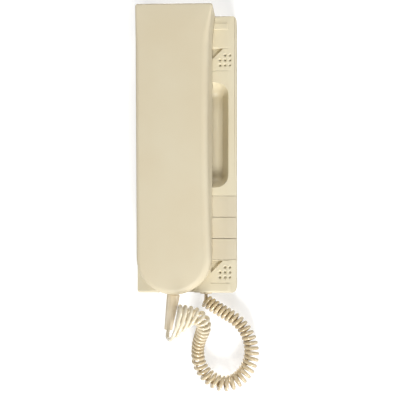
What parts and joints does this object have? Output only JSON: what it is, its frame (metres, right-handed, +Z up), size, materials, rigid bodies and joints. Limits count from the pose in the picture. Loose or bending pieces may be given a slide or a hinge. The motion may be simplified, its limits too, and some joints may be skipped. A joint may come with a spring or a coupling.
{
  "type": "audio intercom handset",
  "caption": "Wall door-phone: a flat round-ended handset lies in the cradle of a slim base with push keys, sound grilles and a finger scoop, and a curly cord joins the two.",
  "frame": {"origin": "midway between the two wall screws, on the plane of the wall", "axes": "+Z up along the base, +Y into the wall, +X towards the strip with the keys as seen from the front"},
  "size_m": [0.0972, 0.0609, 0.303],
  "materials": {
    "ivory_handset": "satin",
    "ivory_strip": "satin",
    "ivory_cord": "satin",
    "grey_rubber": "matte",
    "steel": "bright",
    "black_plastic": "matte",
    "green_board": "satin"
  },
  "bodies": {
    "base": {"wall_plate": "ivory_handset", "cord_gland": "ivory_handset", "front_cover": "ivory_strip", "curly_cord": "ivory_cord", "key_dome_upper": "grey_rubber", "key_dome_middle": "grey_rubber", "key_dome_lower": "grey_rubber", "cover_screws": "steel", "board_screws": "steel", "terminal_screws": "steel", "hook_pin": "steel", "hook_spring": "steel", "board_capacitors": "black_plastic", "speech_chip": "black_plastic", "cord_socket": "black_plastic", "terminal_block": "black_plastic", "call_sounder": "black_plastic", "hook_switch": "black_plastic", "circuit_board": "green_board"},
    "handset": {"handset_front": "ivory_handset", "handset_back": "ivory_handset", "handset_screws": "steel", "ear_capsule": "black_plastic", "ear_gasket": "grey_rubber", "mouth_capsule": "steel", "mouth_grommet": "grey_rubber", "cord_boot": "ivory_handset"},
    "hook": {"hook_lever": "ivory_handset"},
    "key_upper": {"key_upper": "ivory_strip"},
    "key_middle": {"key_middle": "ivory_strip"},
    "key_lower": {"key_lower": "ivory_strip"}
  },
  "joints": [
    {"name": "handset_lift", "type": "slide", "parent": "base", "child": "handset", "axis": [0, -1, 0], "range_m": [0, 0.045], "deforming": ["curly_cord"]},
    {"name": "hook_turn", "type": "hinge", "parent": "base", "child": "hook", "pos_m": [-0.014, -0.011, 0.044], "axis": [-1, 0, 0], "range_deg": [0, 20], "deforming": ["hook_spring"]},
    {"name": "key_upper_press", "type": "slide", "parent": "base", "child": "key_upper", "axis": [0, 1, 0], "range_m": [0, 0.0012], "stiffness_N_per_m": 500, "springref_m": -0.0005, "deforming": ["key_dome_upper"]},
    {"name": "key_middle_press", "type": "slide", "parent": "base", "child": "key_middle", "axis": [0, 1, 0], "range_m": [0, 0.0012], "stiffness_N_per_m": 500, "springref_m": -0.0005, "deforming": ["key_dome_middle"]},
    {"name": "key_lower_press", "type": "slide", "parent": "base", "child": "key_lower", "axis": [0, 1, 0], "range_m": [0, 0.0012], "stiffness_N_per_m": 500, "springref_m": -0.0005, "deforming": ["key_dome_lower"]}
  ],
  "couplings": [
    {"joint": "hook_turn", "follows": "handset_lift", "rad_per_m": 7.7569}
  ]
}
